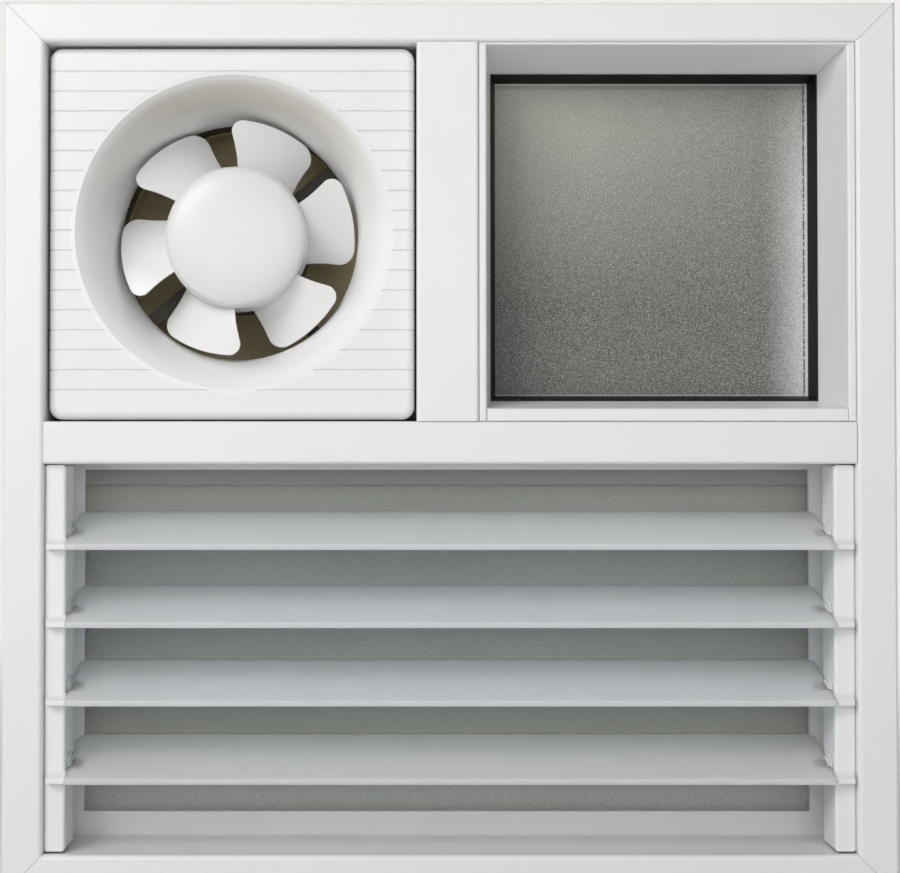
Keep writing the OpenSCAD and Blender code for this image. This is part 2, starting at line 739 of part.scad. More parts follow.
module duct_housing() color([0.85, 0.85, 0.84]) difference() {
  on_fan() {
    translate([0, 0, panel_back]) tube(duct_r + duct_wall, duct_r, duct_l);
    translate([0, 0, panel_back]) tube(flange_r, duct_r, flange_t);
    translate([0, 0, bracket_at + bracket_t]) tube(duct_r + eps, ledge_r, ledge_t);
    translate([0, 0, duct_back - 4]) tube(rim_r, duct_r, 4);
    // two lugs for the flap's pin, rooted in the duct's wall
    for (s = [0, 1]) mirror([s, 0, 0]) translate([lug_x, 0, flap_pin_at]) {
      lug_foot = sqrt(pow(duct_r + 0.4, 2) - pow(lug_x, 2));
      translate([0, -flap_pin_rise, 0]) rotate([0, 90, 0]) cylinder(r = lug_r, h = lug_t);
      translate([0, -flap_pin_rise, 3 - 2 * lug_r])
        cube([lug_t, flap_pin_rise - lug_foot, 2 * lug_r - 0.8]);
    }
  }
  on_flap_pin() cylinder(r = flap_pin_r + screw_fit, h = 2 * pin_half + 2, center = true);
  on_fan() translate([0, 0, panel_back]) duct_screw_places() pilot(flange_t);
  at_bracket_screws() passing(duct_wall + 1);
}

module duct_screws() color(steel)
  on_fan() duct_screw_places() translate([0, 0, panel_at]) screw(panel_t + flange_t + 2);

// round plate that rests on the duct's end, with a neck up to its knuckle
module backdraught_flap() color([0.3, 0.28, 0.22]) difference() {
  union() {
    on_fan() {
      translate([0, 0, flap_at]) cylinder(r = flap_r, h = flap_t);
      translate([-neck_half, -flap_pin_rise - knuckle_r, flap_at]) cube([2 * neck_half, 24, flap_t]);
      translate([-neck_half, -flap_pin_rise - knuckle_r, flap_pin_at])
        cube([2 * neck_half, knuckle_r, flap_at - flap_pin_at + eps]);
      for (k = [-1, 0, 1]) translate([k * 40 - 1, -65, flap_at + flap_t - eps]) cube([2, 130, 2]);
    }
    on_flap_pin() cylinder(r = knuckle_r, h = 2 * knuckle_half, center = true);
  }
  on_flap_pin() cylinder(r = flap_pin_r + running_fit, h = 2 * pin_half, center = true);
}

module flap_pin() color(steel) on_flap_pin() cylinder(r = flap_pin_r, h = 2 * pin_half, center = true);

// ---------- motor ----------

module ring_2d(r_out, r_in) difference() {
  circle(r_out);
  circle(r_in);
}

// outline of the bracket seen along the axis: two rings joined by arms of width w
module bracket_outline(w, block_w) {
  ring_2d(motor_flange_r, motor_r + 0.2);
  ring_2d(duct_r - gap, duct_r - gap - bracket_ring_t);
  for (i = [0:arm_count - 1]) rotate(-arm_turn - i * 360 / arm_count) {
    translate([motor_flange_r - 3, -w / 2]) square([duct_r - gap - 1 - motor_flange_r + 3, w]);
    translate([duct_r - gap - 11, -block_w / 2]) square([10, block_w]);
  }
}

// flat arms on the motor's side, a thin rib on each, and a screw block at each outer end
module motor_bracket() color(dark) difference() {
  on_fan() translate([0, 0, bracket_at]) {
    linear_extrude(3) bracket_outline(arm_w, arm_w);
    translate([0, 0, 3]) linear_extrude(bracket_t - 3) bracket_outline(3, block_w);
  }
  on_fan() translate([0, 0, bracket_at]) motor_screw_places() pilot(bracket_t);
  at_bracket_screws() pilot(duct_wall + gap + 10);
}

module bracket_screws() color(steel) at_bracket_screws() screw(duct_wall + gap + 9);

module motor_screw_places() for (a = [45:90:315]) rotate(a - arm_turn)
  translate([(motor_r + motor_flange_r) / 2, 0, 0]) children();

// half of the motor's case: an end wall with a bearing boss, a side wall and a joint flange
module motor_shell(boss) {
  boss_r = bush_r + motor_wall;
  half = motor_l / 2;
  difference() {
    union() {
      cylinder(r1 = motor_r - 2, r2 = motor_r, h = 2);
      translate([0, 0, 2]) cylinder(r = motor_r, h = half - 2);
      translate([0, 0, -boss]) cylinder(r = boss_r, h = boss + bush_l);
      translate([0, 0, half - motor_flange_t]) cylinder(r = motor_flange_r, h = motor_flange_t);
    }
    difference() {
      translate([0, 0, motor_wall]) cylinder(r = motor_r - motor_wall, h = half);
      translate([0, 0, -boss]) cylinder(r = boss_r, h = boss + bush_l);
    }
    translate([0, 0, motor_wall - boss]) cylinder(r = bush_r, h = boss + bush_l);
    translate([0, 0, -boss - 1]) cylinder(r = shaft_r + 0.6, h = boss + 3);
    translate([0, 0, half - motor_flange_t]) motor_screw_places() passing(motor_flange_t);
  }
}

module motor_front_shell() color(dark) on_fan() translate([0, 0, motor_front]) motor_shell(1.5);

module motor_rear_shell() color(dark) on_fan()
  translate([0, 0, motor_back]) mirror([0, 0, 1]) motor_shell(1.5);

module motor_screws() color(steel)
  on_fan() translate([0, 0, motor_mid - motor_flange_t]) motor_screw_places() screw(bracket_t - 1);

module stator_core() color([0.5, 0.5, 0.52]) on_fan()
  translate([0, 0, motor_mid - core_l / 2]) difference() {
    cylinder(r = motor_r - motor_wall, h = core_l);
    translate([0, 0, -1]) cylinder(r = rotor_r + air_gap, h = core_l + 2);
    for (a = [0:30:330]) rotate(a) translate([rotor_r + 3.5, -1.6, -1]) cube([8, 3.2, core_l + 2]);
  }

// end turns of the winding, a ring on each face of the core
module stator_winding() color([0.72, 0.4, 0.2]) on_fan()
  for (z = [motor_mid - core_l / 2 - winding_l, motor_mid + core_l / 2])
    translate([0, 0, z]) tube(rotor_r + 12, rotor_r + 3, winding_l);

module bearing_bush(z) color([0.7, 0.55, 0.3]) on_fan()
  translate([0, 0, z]) tube(bush_r, shaft_r + shaft_fit, bush_l);

module front_bearing() bearing_bush(motor_front + motor_wall - 1.5);
module rear_bearing() bearing_bush(motor_back - motor_wall + 1.5 - bush_l);

module rotor() color([0.55, 0.55, 0.56]) on_fan()
  translate([0, 0, motor_mid - core_l / 2]) tube(rotor_r, shaft_r, core_l);

module motor_shaft() color(steel) on_fan()
  translate([0, 0, hub_front - 5]) cylinder(r = shaft_r, h = motor_back - motor_wall - hub_front + 5 - 1);

// ---------- impeller ----------

// place along the edge line (p + s * u) at which a corner circle of radius rc touches the tip circle
function corner_run(p, u, n, rc) =
  let (q = p + rc * n, b = q * u, c = q * q - pow(tip_r - rc, 2)) -b + sqrt(b * b - c);
function corner_centre(p, u, n, rc) = p + rc * n + corner_run(p, u, n, rc) * u;

// edges of a blade seen along the axis: from the root outwards, leading edge on the -Y side
lead_root = 46 * dir(-28.5);
lead_out = 76 * dir(-32.5);
trail_root = 46 * dir(21);
trail_out = 76 * dir(12.5);
lead_u = (lead_out - lead_root) / norm(lead_out - lead_root);
trail_u = (trail_out - trail_root) / norm(trail_out - trail_root);
lead_n = turn(lead_u, 90);
trail_n = turn(trail_u, -90);
lead_c = corner_centre(lead_root, lead_u, lead_n, lead_r);
trail_c = corner_centre(trail_root, trail_u, trail_n, trail_r);

function angle_of(p) = atan2(p[1], p[0]);

// points between p and q on a shallow hollow of depth h along n
function hollow(p, q, n, h) = [for (k = [1:6]) p + (q - p) * k / 7 + n * h * sin(180 * k / 7)];

module blade_outline() {
  lead_t = lead_c - lead_n * lead_r;
  trail_t = trail_c - trail_n * trail_r;
  polygon(concat([[30, 0], lead_root],
                 hollow(lead_root, lead_t, lead_n, blade_bow),
                 arc(lead_c, lead_r, angle_of(-lead_n), angle_of(lead_c), 8),
                 arc([0, 0], tip_r, angle_of(lead_c), angle_of(trail_c), 12),
                 arc(trail_c, trail_r, angle_of(trail_c), angle_of(-trail_n), 8),
                 hollow(trail_t, trail_root, trail_n, blade_bow),
                 [trail_root]));
}

// sheet of constant camber: a slice of a slanted tube's wall
module blade_sheet() {
  mid = 66;
  translate([mid, 0, (hub_front + hub_back) / 2 + 1])
    rotate([blade_pitch, 0, 0]) rotate([0, 0, blade_slant])
    translate([0, 0, camber_r]) rotate([0, 90, 0]) difference() {
      cylinder(r = camber_r + blade_t, h = 140, center = true, $fn = 180);
      cylinder(r = camber_r, h = 142, center = true, $fn = 180);
    }
}

module impeller_blade() {
  intersection() {
    rotate(-7) blade_sheet();
    translate([0, 0, hub_front - 2]) linear_extrude(hub_l + 6) blade_outline();
  }
}

module impeller() color([0.92, 0.92, 0.93]) on_fan() {
  difference() {
    union() {
      translate([0, 0, hub_front]) cylinder(r1 = hub_r - 0.9, r2 = hub_r, h = hub_l);
      for (i = [0:blade_count - 1]) rotate(-i * 360 / blade_count) impeller_blade();
    }
    translate([0, 0, hub_front + 3]) difference() {
      cylinder(r = hub_r - 0.9 - hub_wall, h = hub_l + 10);
      cylinder(r = 9, h = hub_l - 6);
      for (a = [0:60:300]) rotate(a) translate([8, -0.8, 0]) cube([hub_r, 1.6, 8]);
    }
    translate([0, 0, hub_front - 1]) cylinder(r = shaft_r, h = hub_l + 2);
  }
}

module impeller_nut() color(steel) on_fan() translate([0, 0, hub_front - 4]) difference() {
  cylinder(r = 7.5, h = 4, $fn = 6);
  translate([0, 0, -1]) cylinder(r = shaft_r, h = 6);
}

// point of a dome's profile, t from 0 at the crown to 90 at the rim
function dome(r, h, t) = [r * pow(sin(t), 2 / cap_power), h * (1 - pow(cos(t), 2 / cap_power))];

// smooth hollow cap over the hub, with a short skirt
module spinner_cap() color([0.95, 0.95, 0.96]) on_fan() rotate_extrude() {
  cap_wall = 1.8;
  rim = 3.2;
  room = hub_front - cap_front - cap_wall;
  outside = [for (t = [0:5:90]) [0, cap_front] + dome(cap_r, cap_rise, t)];
  inside = [for (t = [90:-6:0]) [0, cap_front + cap_wall] + dome(cap_r - rim, room, t)];
  polygon(concat(outside, [[cap_r, hub_front]], inside));
}

// ---------- terminal box, behind the fascia ----------

box_w = 44;
box_h = 22;
box_d = 16;

module terminal_box() color(white) facing((fan_bay[0] + fan_bay[2]) / 2, fan_bay[1] + 22) difference() {
  translate([0, 0, panel_at - box_d]) linear_extrude(box_d) rounded_rect(box_w, box_h, 2);
  translate([0, 0, panel_at - box_d - 1]) linear_extrude(box_d - 1) rounded_rect(box_w - 4, box_h - 4, 1);
  translate([box_w / 2 - 4, 0, panel_at - box_d / 2]) rotate([0, 90, 0]) cylinder(r = 4, h = 8);
}

module terminal_cover() color(white) facing((fan_bay[0] + fan_bay[2]) / 2, fan_bay[1] + 22) difference() {
  union() {
    translate([0, 0, panel_at - box_d - 2]) linear_extrude(2) rounded_rect(box_w, box_h, 2);
    translate([0, 0, panel_at - box_d - eps]) linear_extrude(3) rounded_rect(box_w - 4.6, box_h - 4.6, 0.8);
  }
  translate([0, 0, panel_at - box_d]) linear_extrude(4) rounded_rect(box_w - 8, box_h - 8, 0.8);
}

// ---------- louvre ----------

// box-section channel with a rear flange, bores for the journals and a nose at each blade
module louvre_channel(side) {
  mid_d = channel_at + channel_d / 2;
  channel_h = channel_z1 - channel_z0;
  difference() {
    union() {
      intersection() {
        translate([side * (in_x - channel_w / 2), front_y + mid_d, channel_z0]) linear_extrude(channel_h)
          rounded_rect(channel_w, channel_d, 2.2);
        translate([side * (in_x - channel_w / 2), front_y + frame_d, channel_z0 + channel_h / 2])
          rotate([90, 0, 0]) linear_extrude(frame_d) rounded_rect(channel_w, channel_h, 2.4);
      }
      translate([side * (in_x - channel_wall / 2), front_y + channel_at + channel_d + (flange_w - 4) / 2,
                 channel_z0 + channel_h / 2])
        cube([channel_wall, flange_w + 4, channel_h], center = true);
      for (z = nose_z) channel_nose(side, z);
    }
    translate([side * (in_x - channel_w / 2), front_y + mid_d, channel_z0 - 1])
      linear_extrude(channel_h + 2)
      square([channel_w - 2 * channel_wall, channel_d - 2 * channel_wall], center = true);
    for (i = [1:louvre_count]) translate([side * channel_in, front_y + pivot_at, pivot_z(i)])
      rotate([0, 90, 0]) cylinder(r = journal_r + running_fit, h = 2.5 * channel_wall, center = true);
    at_channel_screws(side) translate([0, 0, -1]) pilot(channel_wall + 2);
  }
}

// a nose continues the blade's front edge across the channel's face, sloping up to it behind
module channel_nose(side, z) {
  reach = nose_out + channel_wall;
  rise = reach * tan(slat_tilt) + 1.2;
  out_x = in_x - 2.6;                  // outer end, just inside the channel's own side
  translate([side * (nose_in + out_x) / 2, front_y + channel_at - nose_out, z])
    rotate([90, 0, 90]) linear_extrude(out_x - nose_in, center = true)
      polygon(concat([[reach, -nose_h / 2 + 0.4], [reach, nose_h / 2 + rise]],
                     arc([1.2, nose_h / 2 - 1.2], 1.2, 90, 180, 4),
                     arc([0.8, 0.8 - nose_h / 2], 0.8, 180, 270, 3)));
}

module louvre_channel_left() color(white) louvre_channel(-1);
module louvre_channel_right() color(white) louvre_channel(1);

module channel_screws() color(steel)
  for (side = [-1, 1]) at_channel_screws(side) screw(channel_wall + wall + 1.6);

// everything on a blade is drawn flat about its pivot and then tilted
module at_pivot(i) translate([0, front_y + pivot_at, pivot_z(i)]) rotate([slat_tilt, 0, 0]) children();

module louvre_blade(i) color([0.72, 0.75, 0.77, 0.9]) at_pivot(i)
  translate([0, 0, -slat_t / 2]) linear_extrude(slat_t) difference() {
    translate([-slat_half, -slat_front]) square([2 * slat_half, slat_w]);
    for (s = [0, 1]) mirror([s, 0]) {
      translate([-slat_half, slat_w - slat_front]) mirror([0, 1]) corner_cut(slat_corner_r);
      translate([-slat_half, -slat_front]) corner_cut(0.8);
    }
  }

// end clip of a blade: a ledge under the glass, a small upper lip, a thrust disc
// and the journal in the channel, on the left with the crank pin
module blade_clip(i, side) color([0.86, 0.88, 0.9, 0.8]) at_pivot(i) {
  disc_from = slat_half + 0.05;
  disc_to = channel_in - gap;
  disc_r = journal_r + 0.8;
  mirror([side < 0 ? 1 : 0, 0, 0]) {
    translate([slat_half - ledge_grip, -jaw_l / 2, -slat_t / 2 - ledge_h])
      cube([disc_to - slat_half + ledge_grip, jaw_l, ledge_h]);
    translate([slat_half - lip_grip, -jaw_l / 2, slat_t / 2])
      cube([disc_to - slat_half + lip_grip, jaw_l, lip_h]);
    translate([disc_from, 0, 0]) rotate([0, 90, 0]) cylinder(r = disc_r, h = disc_to - disc_from);
    translate([disc_from + 0.1, 0, 0]) rotate([0, 90, 0])
      cylinder(r = journal_r, h = journal_end - disc_from - 0.1);
  }
  if (side < 0) rotate([-slat_tilt, 0, 0]) translate([-journal_end + 1, crank_y, crank_z])
    rotate([0, -90, 0]) cylinder(r = crank_r, h = link_t + 2 * gap + 1.6);
}

module link_bar() color(steel) difference() {
  union() {
    translate([-link_in - link_t, front_y + pivot_at + crank_y - link_w / 2,
               pivot_z(louvre_count) + crank_z])
      cube([link_t, link_w, (louvre_count - 1) * louvre_pitch]);
    for (i = [1, louvre_count]) at_link(i) cylinder(r = link_w / 2, h = link_t);
  }
  for (i = [1:louvre_count]) at_link(i) translate([0, 0, -1])
    cylinder(r = crank_r + running_fit, h = link_t + 2);
}

module at_link(i) translate([-link_in, front_y + pivot_at + crank_y, pivot_z(i) + crank_z])
  rotate([0, -90, 0]) children();

// ---------- insect screen ----------

// (width, depth): a groove from behind for the spline, and a lower lip that the mesh passes over
groove_in = 1 + screen_bar - 2.5;
groove_out = groove_in - spline_d;
groove_at = screen_at + screen_t - 2 - spline_d + 0.4;
lip_at = screen_at + screen_t - 2;

module screen_bar_profile() difference() {
  translate([1, screen_at]) square([screen_bar, screen_t]);
  translate([groove_out, groove_at]) square([spline_d, screen_t]);
  translate([groove_in - eps, lip_at]) square([spline_d, screen_t]);
}

module screen_frame() color([0.8, 0.82, 0.82]) difference() {
  ring_of_bars(louvre_bay, screen_bar + 2) screen_bar_profile();
  at_screen_screws() passing(screen_t);
}

// flat mesh over the lip, its edge turned down into the groove
module screen_mesh() color([0.45, 0.46, 0.44]) {
  inset = groove_in - mesh_t;
  translate([louvre_bay[0] + inset, front_y + lip_at, louvre_bay[1] + inset])
    cube([louvre_bay[2] - louvre_bay[0] - 2 * inset, mesh_t, louvre_bay[3] - louvre_bay[1] - 2 * inset]);
  ring_of_bars(louvre_bay, screen_bar + 2)
    translate([inset, groove_at]) square([mesh_t, lip_at - groove_at + eps]);
}

module screen_spline() color(dark) ring_of_bars(louvre_bay, screen_bar + 2)
  translate([groove_out + 0.05, groove_at]) square([spline_d - mesh_t - 0.05, spline_d]);

module screen_screws() color(steel) at_screen_screws() screw(screen_t + gap + leg_t + 1);

// ---------- nodes ----------

frame_head();
frame_sill();
frame_jamb_left();
frame_jamb_right();
transom();
mullion();
glazing_bead_top();
glazing_bead_bottom();
side_bead("left");  // glazing_bead_left
side_bead("right");  // glazing_bead_right
glazing_gasket();
obscure_pane();
pane_rear_seal();
setting_blocks();
fan_panel();
panel_seal();
panel_screws();
fan_fascia();
fascia_screws();
duct_housing();
duct_screws();
backdraught_flap();
flap_pin();
motor_bracket();
bracket_screws();
motor_front_shell();
motor_rear_shell();
motor_screws();
stator_core();
stator_winding();
front_bearing();
rear_bearing();
rotor();
motor_shaft();
impeller();
impeller_nut();
spinner_cap();
terminal_box();
terminal_cover();
louvre_channel_left();
louvre_channel_right();
channel_screws();
louvre_blade(1);  // louvre_blade_1
louvre_blade(2);  // louvre_blade_2
louvre_blade(3);  // louvre_blade_3
louvre_blade(4);  // louvre_blade_4
blade_clip(1, -1);  // blade_clip_left_1
blade_clip(2, -1);  // blade_clip_left_2
blade_clip(3, -1);  // blade_clip_left_3
blade_clip(4, -1);  // blade_clip_left_4
blade_clip(1, 1);  // blade_clip_right_1
blade_clip(2, 1);  // blade_clip_right_2
blade_clip(3, 1);  // blade_clip_right_3
blade_clip(4, 1);  // blade_clip_right_4
link_bar();
screen_frame();
screen_mesh();
screen_spline();
screen_screws();
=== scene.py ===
"""Looks of the ventilating window unit: materials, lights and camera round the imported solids.

Units are metres. X runs right and Y away, as seen from the room, and Z up. Colours are linear RGB.
"""
import json
import math

import bpy
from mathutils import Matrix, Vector


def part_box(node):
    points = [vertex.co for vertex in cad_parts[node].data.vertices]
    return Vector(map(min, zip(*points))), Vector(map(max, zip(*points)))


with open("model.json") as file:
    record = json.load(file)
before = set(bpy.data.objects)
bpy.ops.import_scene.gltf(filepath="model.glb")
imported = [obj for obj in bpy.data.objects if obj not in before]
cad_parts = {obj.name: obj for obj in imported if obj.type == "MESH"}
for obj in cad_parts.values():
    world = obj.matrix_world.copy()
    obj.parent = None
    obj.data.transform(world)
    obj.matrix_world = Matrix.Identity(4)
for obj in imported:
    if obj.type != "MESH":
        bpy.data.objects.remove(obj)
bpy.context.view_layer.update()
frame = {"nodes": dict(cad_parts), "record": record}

DUCT_LOW, DUCT_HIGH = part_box("duct_housing")
HEAD_LOW, HEAD_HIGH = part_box("frame_head")
FRAME_W = HEAD_HIGH[0] - HEAD_LOW[0]          # the frame is as high as it is wide
FACE_W = 0.0275                               # face of the outer frame
FAN_X = (DUCT_LOW[0] + DUCT_HIGH[0]) / 2      # the fan's axis
FAN_Z = (DUCT_LOW[2] + DUCT_HIGH[2]) / 2
FRONT_Y = HEAD_LOW[1]                         # the frame's front plane
BELL_R = 0.112                                # a little more than the bell-mouth's rim
DUCT_MID_R = 0.0908                           # middle of the duct's wall
FLAP_MID_Y = DUCT_HIGH[1] + 0.0008            # middle of the closed flap's plate


# ---------- node graphs ----------

class Graph:
    """One material's node tree, with short calls to add and join nodes."""

    def __init__(self, name):
        self.mat = bpy.data.materials.new(name)
        self.mat.use_nodes = True
        self.tree = self.mat.node_tree
        self.tree.nodes.clear()
        self.where = self.add("TexCoord").outputs["Object"]

    def add(self, kind, inputs=None, **settings):
        """A new node; an input that is a socket is linked, any other is a constant."""
        node = self.tree.nodes.new("ShaderNode" + kind)
        for key, value in settings.items():
            setattr(node, key, value)
        for key, value in (inputs or {}).items():
            if isinstance(value, bpy.types.NodeSocket):
                self.tree.links.new(value, node.inputs[key])
            else:
                node.inputs[key].default_value = value
        return node

    def math(self, operation, a, b=0.0):
        return self.add("Math", {0: a, 1: b}, operation=operation).outputs[0]

    def noise(self, scale, detail=2.0, rough=0.5, where=None):
        """Grey noise; scale is in features per metre."""
        node = self.add("TexNoise", {"Vector": where or self.where, "Scale": scale, "Detail": detail,
                                     "Roughness": rough})
        return node.outputs["Fac"]

    def remap(self, value, low, high, to_low=0.0, to_high=1.0):
        node = self.add("MapRange", {"Value": value, "From Min": low, "From Max": high,
                                     "To Min": to_low, "To Max": to_high}, clamp=True)
        return node.outputs["Result"]

    def band(self, value, low, high, soft=0.0003):
        """1 between low and high, falling off softly outside."""
        rise = self.remap(value, low - soft, low + soft)
        fall = self.remap(value, high - soft, high + soft, 1.0, 0.0)
        return self.math("MULTIPLY", rise, fall)

    def mix(self, factor, a, b):
        """Colour a where factor is 0, and b where it is 1."""
        node = self.add("Mix", {"Factor": factor}, data_type="RGBA")
        for socket, value in ((node.inputs[6], a), (node.inputs[7], b)):
            if isinstance(value, bpy.types.NodeSocket):
                self.tree.links.new(value, socket)
            else:
                socket.default_value = (*value, 1.0)
        return node.outputs[2]

    def xyz(self):
        node = self.add("SeparateXYZ", {"Vector": self.where})
        return node.outputs["X"], node.outputs["Y"], node.outputs["Z"]

    def distance(self, a, b):
        """Length of the vector whose two parts are a and b."""
        return self.math("SQRT", self.math("ADD", self.math("MULTIPLY", a, a), self.math("MULTIPLY", b, b)))

    def bump(self, height, distance, strength=1.0, normal=None):
        inputs = {"Height": height, "Distance": distance, "Strength": strength}
        if normal:
            inputs["Normal"] = normal
        return self.add("Bump", inputs).outputs["Normal"]

    def soft_edges(self, radius):
        return self.add("Bevel", {"Radius": radius}, samples=4).outputs["Normal"]

    def occlusion_shade(self, reach=0.004):
        """Painted shade mask from ambient occlusion: 1 in corners and grooves narrower than the reach, 0 in
        the open.
        """
        ao = self.add("AmbientOcclusion", {"Distance": reach}, samples=8).outputs["AO"]
        return self.remap(ao, 0.35, 0.85, 1.0, 0.0)

    def output(self, shader):
        out = self.add("OutputMaterial")
        self.tree.links.new(shader, out.inputs["Surface"])
        return self.mat

    def finish(self, **inputs):
        """Ends the graph with a Principled shader; Base_Color stands for its input Base Color."""
        shader = self.add("BsdfPrincipled")
        for key, value in inputs.items():
            socket = shader.inputs[key.replace("_", " ")]
            if isinstance(value, bpy.types.NodeSocket):
                self.tree.links.new(value, socket)
            else:
                colour = isinstance(value, tuple) and socket.type == "RGBA"
                socket.default_value = (*value, 1.0) if colour else value
        return self.output(shader.outputs["BSDF"])


def scaled(colour, red, green, blue):
    return colour[0] * red, colour[1] * green, colour[2] * blue


# ---------- white plastic ----------

CORNER_DUST_AND_SHADE = (0.3, 0.28, 0.23)
SEAM_DARK = (0.25, 0.24, 0.22)
BELL_PAINTED_WHITE = (0.93, 0.93, 0.93)
BELL_DUST_AND_SHADE = (0.50, 0.46, 0.385)


def white_plastic(name, colour, rough, edge=0.0005, mitres=False, dust_and_shade=None):
    """Satin moulded or extruded plastic with faint tone changes, and a little dust and painted shade in its
    corners.
    """
    g = Graph(name)
    warm = scaled(colour, 0.985, 0.98, 0.97)
    base = g.mix(g.remap(g.noise(7.0, 3.0), 0.35, 0.7), colour, warm)
    # painted shade: corners and grooves are darkened by ambient occlusion, in a dust colour broken up by
    # noise
    corner_dust_and_shade = g.math("MULTIPLY", g.occlusion_shade(), g.remap(g.noise(60.0, 3.0), 0.25, 0.75, 0.6, 1.0))
    base = g.mix(g.math("MULTIPLY", corner_dust_and_shade, 0.12), base, CORNER_DUST_AND_SHADE)
    # the bell-mouth's dust film with its painted light and painted shade
    if dust_and_shade:
        base = dust_and_shade(g, base)
    normal = g.bump(g.noise(900.0, 2.0, 0.6), 0.00002, 0.5, g.soft_edges(edge))
    if mitres:
        base, normal = mitre_lines(g, base, normal)
    gloss = g.remap(g.noise(35.0, 2.0), 0.3, 0.7, rough - 0.01, rough + 0.02)
    return g.finish(Base_Color=base, Roughness=gloss, Normal=normal, IOR=1.5)


def mitre_lines(g, base, normal):
    """The fine welded seam along each 45 degree corner of the outer frame."""
    x, y, z = g.xyz()
    side = g.math("SUBTRACT", FRAME_W / 2, g.math("ABSOLUTE", x))
    rise = g.math("MINIMUM", z, g.math("SUBTRACT", FRAME_W, z))
    off = g.math("ABSOLUTE", g.math("SUBTRACT", side, rise))
    in_corner = g.math("LESS_THAN", rise, FACE_W + 0.001)
    line = g.math("MULTIPLY", g.remap(off, 0.0002, 0.0007, 1.0, 0.0), in_corner)
    base = g.mix(g.math("MULTIPLY", line, 0.4), base, SEAM_DARK)
    return base, g.bump(line, 0.0006, -1.0, normal)


def from_fan_axis(g):
    x, y, z = g.xyz()
    return g.distance(g.math("SUBTRACT", x, FAN_X), g.math("SUBTRACT", z, FAN_Z))


def bell_dust_and_shade(g, base):
    """The bell-mouth: smooth and painted whiter than the face of the same moulding as painted light, with a
    film of dust from its upper lip inwards that is made heavier towards the top as painted shade, and thin
    below.
    """
    x, y, z = g.xyz()
    in_bell = g.math("LESS_THAN", from_fan_axis(g), BELL_R)
    behind_rim = g.math("MULTIPLY", g.remap(y, FRONT_Y + 0.006, FRONT_Y + 0.014), in_bell)
    # painted light: the bell-mouth is painted whiter than the face of the same moulding
    base = g.mix(behind_rim, base, BELL_PAINTED_WHITE)
    thickens = g.remap(y, FRONT_Y + 0.006, FRONT_Y + 0.016, 0.35, 1.0)
    thins = g.remap(y, FRONT_Y + 0.030, FRONT_Y + 0.060, 1.0, 0.0)
    film = g.math("MULTIPLY", g.math("MULTIPLY", thickens, thins), behind_rim)
    # painted shade: the dust film is made heavier towards the top, where the bell's upper side lies in shade
    film = g.math("MULTIPLY", film, g.remap(z, FAN_Z, FAN_Z + 0.09, 0.05, 1.0))
    film = g.math("MULTIPLY", film, g.remap(g.noise(25.0, 4.0, 0.6), 0.3, 0.7, 0.6, 0.75))
    return g.mix(film, base, BELL_DUST_AND_SHADE)


# ---------- other plastic, paint and rubber ----------

RUBBER_BLACK = (0.004, 0.0045, 0.0043)
RUBBER_DUST = (0.04, 0.04, 0.037)
MOTOR_DUST = (0.13, 0.115, 0.085)
OUTER_WHITE = (0.78, 0.78, 0.76)
OUTER_DUST = (0.60, 0.58, 0.52)


def rubber(name):
    g = Graph(name)
    dust = g.remap(g.noise(260.0, 4.0, 0.7), 0.6, 0.85, 0.0, 0.15)
    base = g.mix(dust, RUBBER_BLACK, RUBBER_DUST)
    normal = g.bump(g.noise(1500.0, 2.0), 0.00003, 0.6, g.soft_edges(0.0004))
    return g.finish(Base_Color=base, Roughness=0.45, Normal=normal, IOR=1.25)


def dark_paint(name, colour):
    """Matt enamel with drifts of dust."""
    g = Graph(name)
    dust = g.remap(g.noise(120.0, 4.0, 0.65), 0.45, 0.8, 0.0, 0.45)
    base = g.mix(dust, colour, MOTOR_DUST)
    normal = g.bump(g.noise(1100.0, 2.0), 0.00004, 0.6, g.soft_edges(0.0005))
    return g.finish(Base_Color=base, Roughness=0.6, Normal=normal, IOR=1.5)


def plain_paint(name, colour):
    """Matt powder coat, even all over."""
    g = Graph(name)
    base = g.mix(g.remap(g.noise(12.0, 2.0), 0.3, 0.7), colour, scaled(colour, 0.96, 0.96, 0.96))
    normal = g.bump(g.noise(1300.0, 2.0), 0.00003, 0.5, g.soft_edges(0.0004))
    return g.finish(Base_Color=base, Roughness=0.6, Normal=normal, IOR=1.45)


def dusty_plastic(name, colour, dust_colour, rough=0.5, amount=0.5, air_side=None):
    """Plastic under a film of dust. With air_side, the film is on that side and the rest is off-white."""
    g = Graph(name)
    film = g.remap(g.noise(40.0, 5.0, 0.6), 0.3, 0.75, 0.0, amount)
    base = g.mix(film, colour, dust_colour)
    if air_side:
        outer = g.mix(g.math("MULTIPLY", film, 0.3), OUTER_WHITE, OUTER_DUST)
        base = g.mix(air_side(g), outer, base)
    normal = g.bump(g.noise(700.0, 3.0), 0.00005, 0.6, g.soft_edges(0.0005))
    return g.finish(Base_Color=base, Roughness=rough, Normal=normal, IOR=1.5)


def in_duct(g):
    """1 on the duct's inner side."""
    return g.math("LESS_THAN", from_fan_axis(g), DUCT_MID_R)


def under_flap(g):
    """1 on the side of the flap that closes the duct."""
    inner = g.math("LESS_THAN", g.xyz()[1], FLAP_MID_Y)
    return g.math("MULTIPLY", inner, in_duct(g))


# ---------- glass ----------

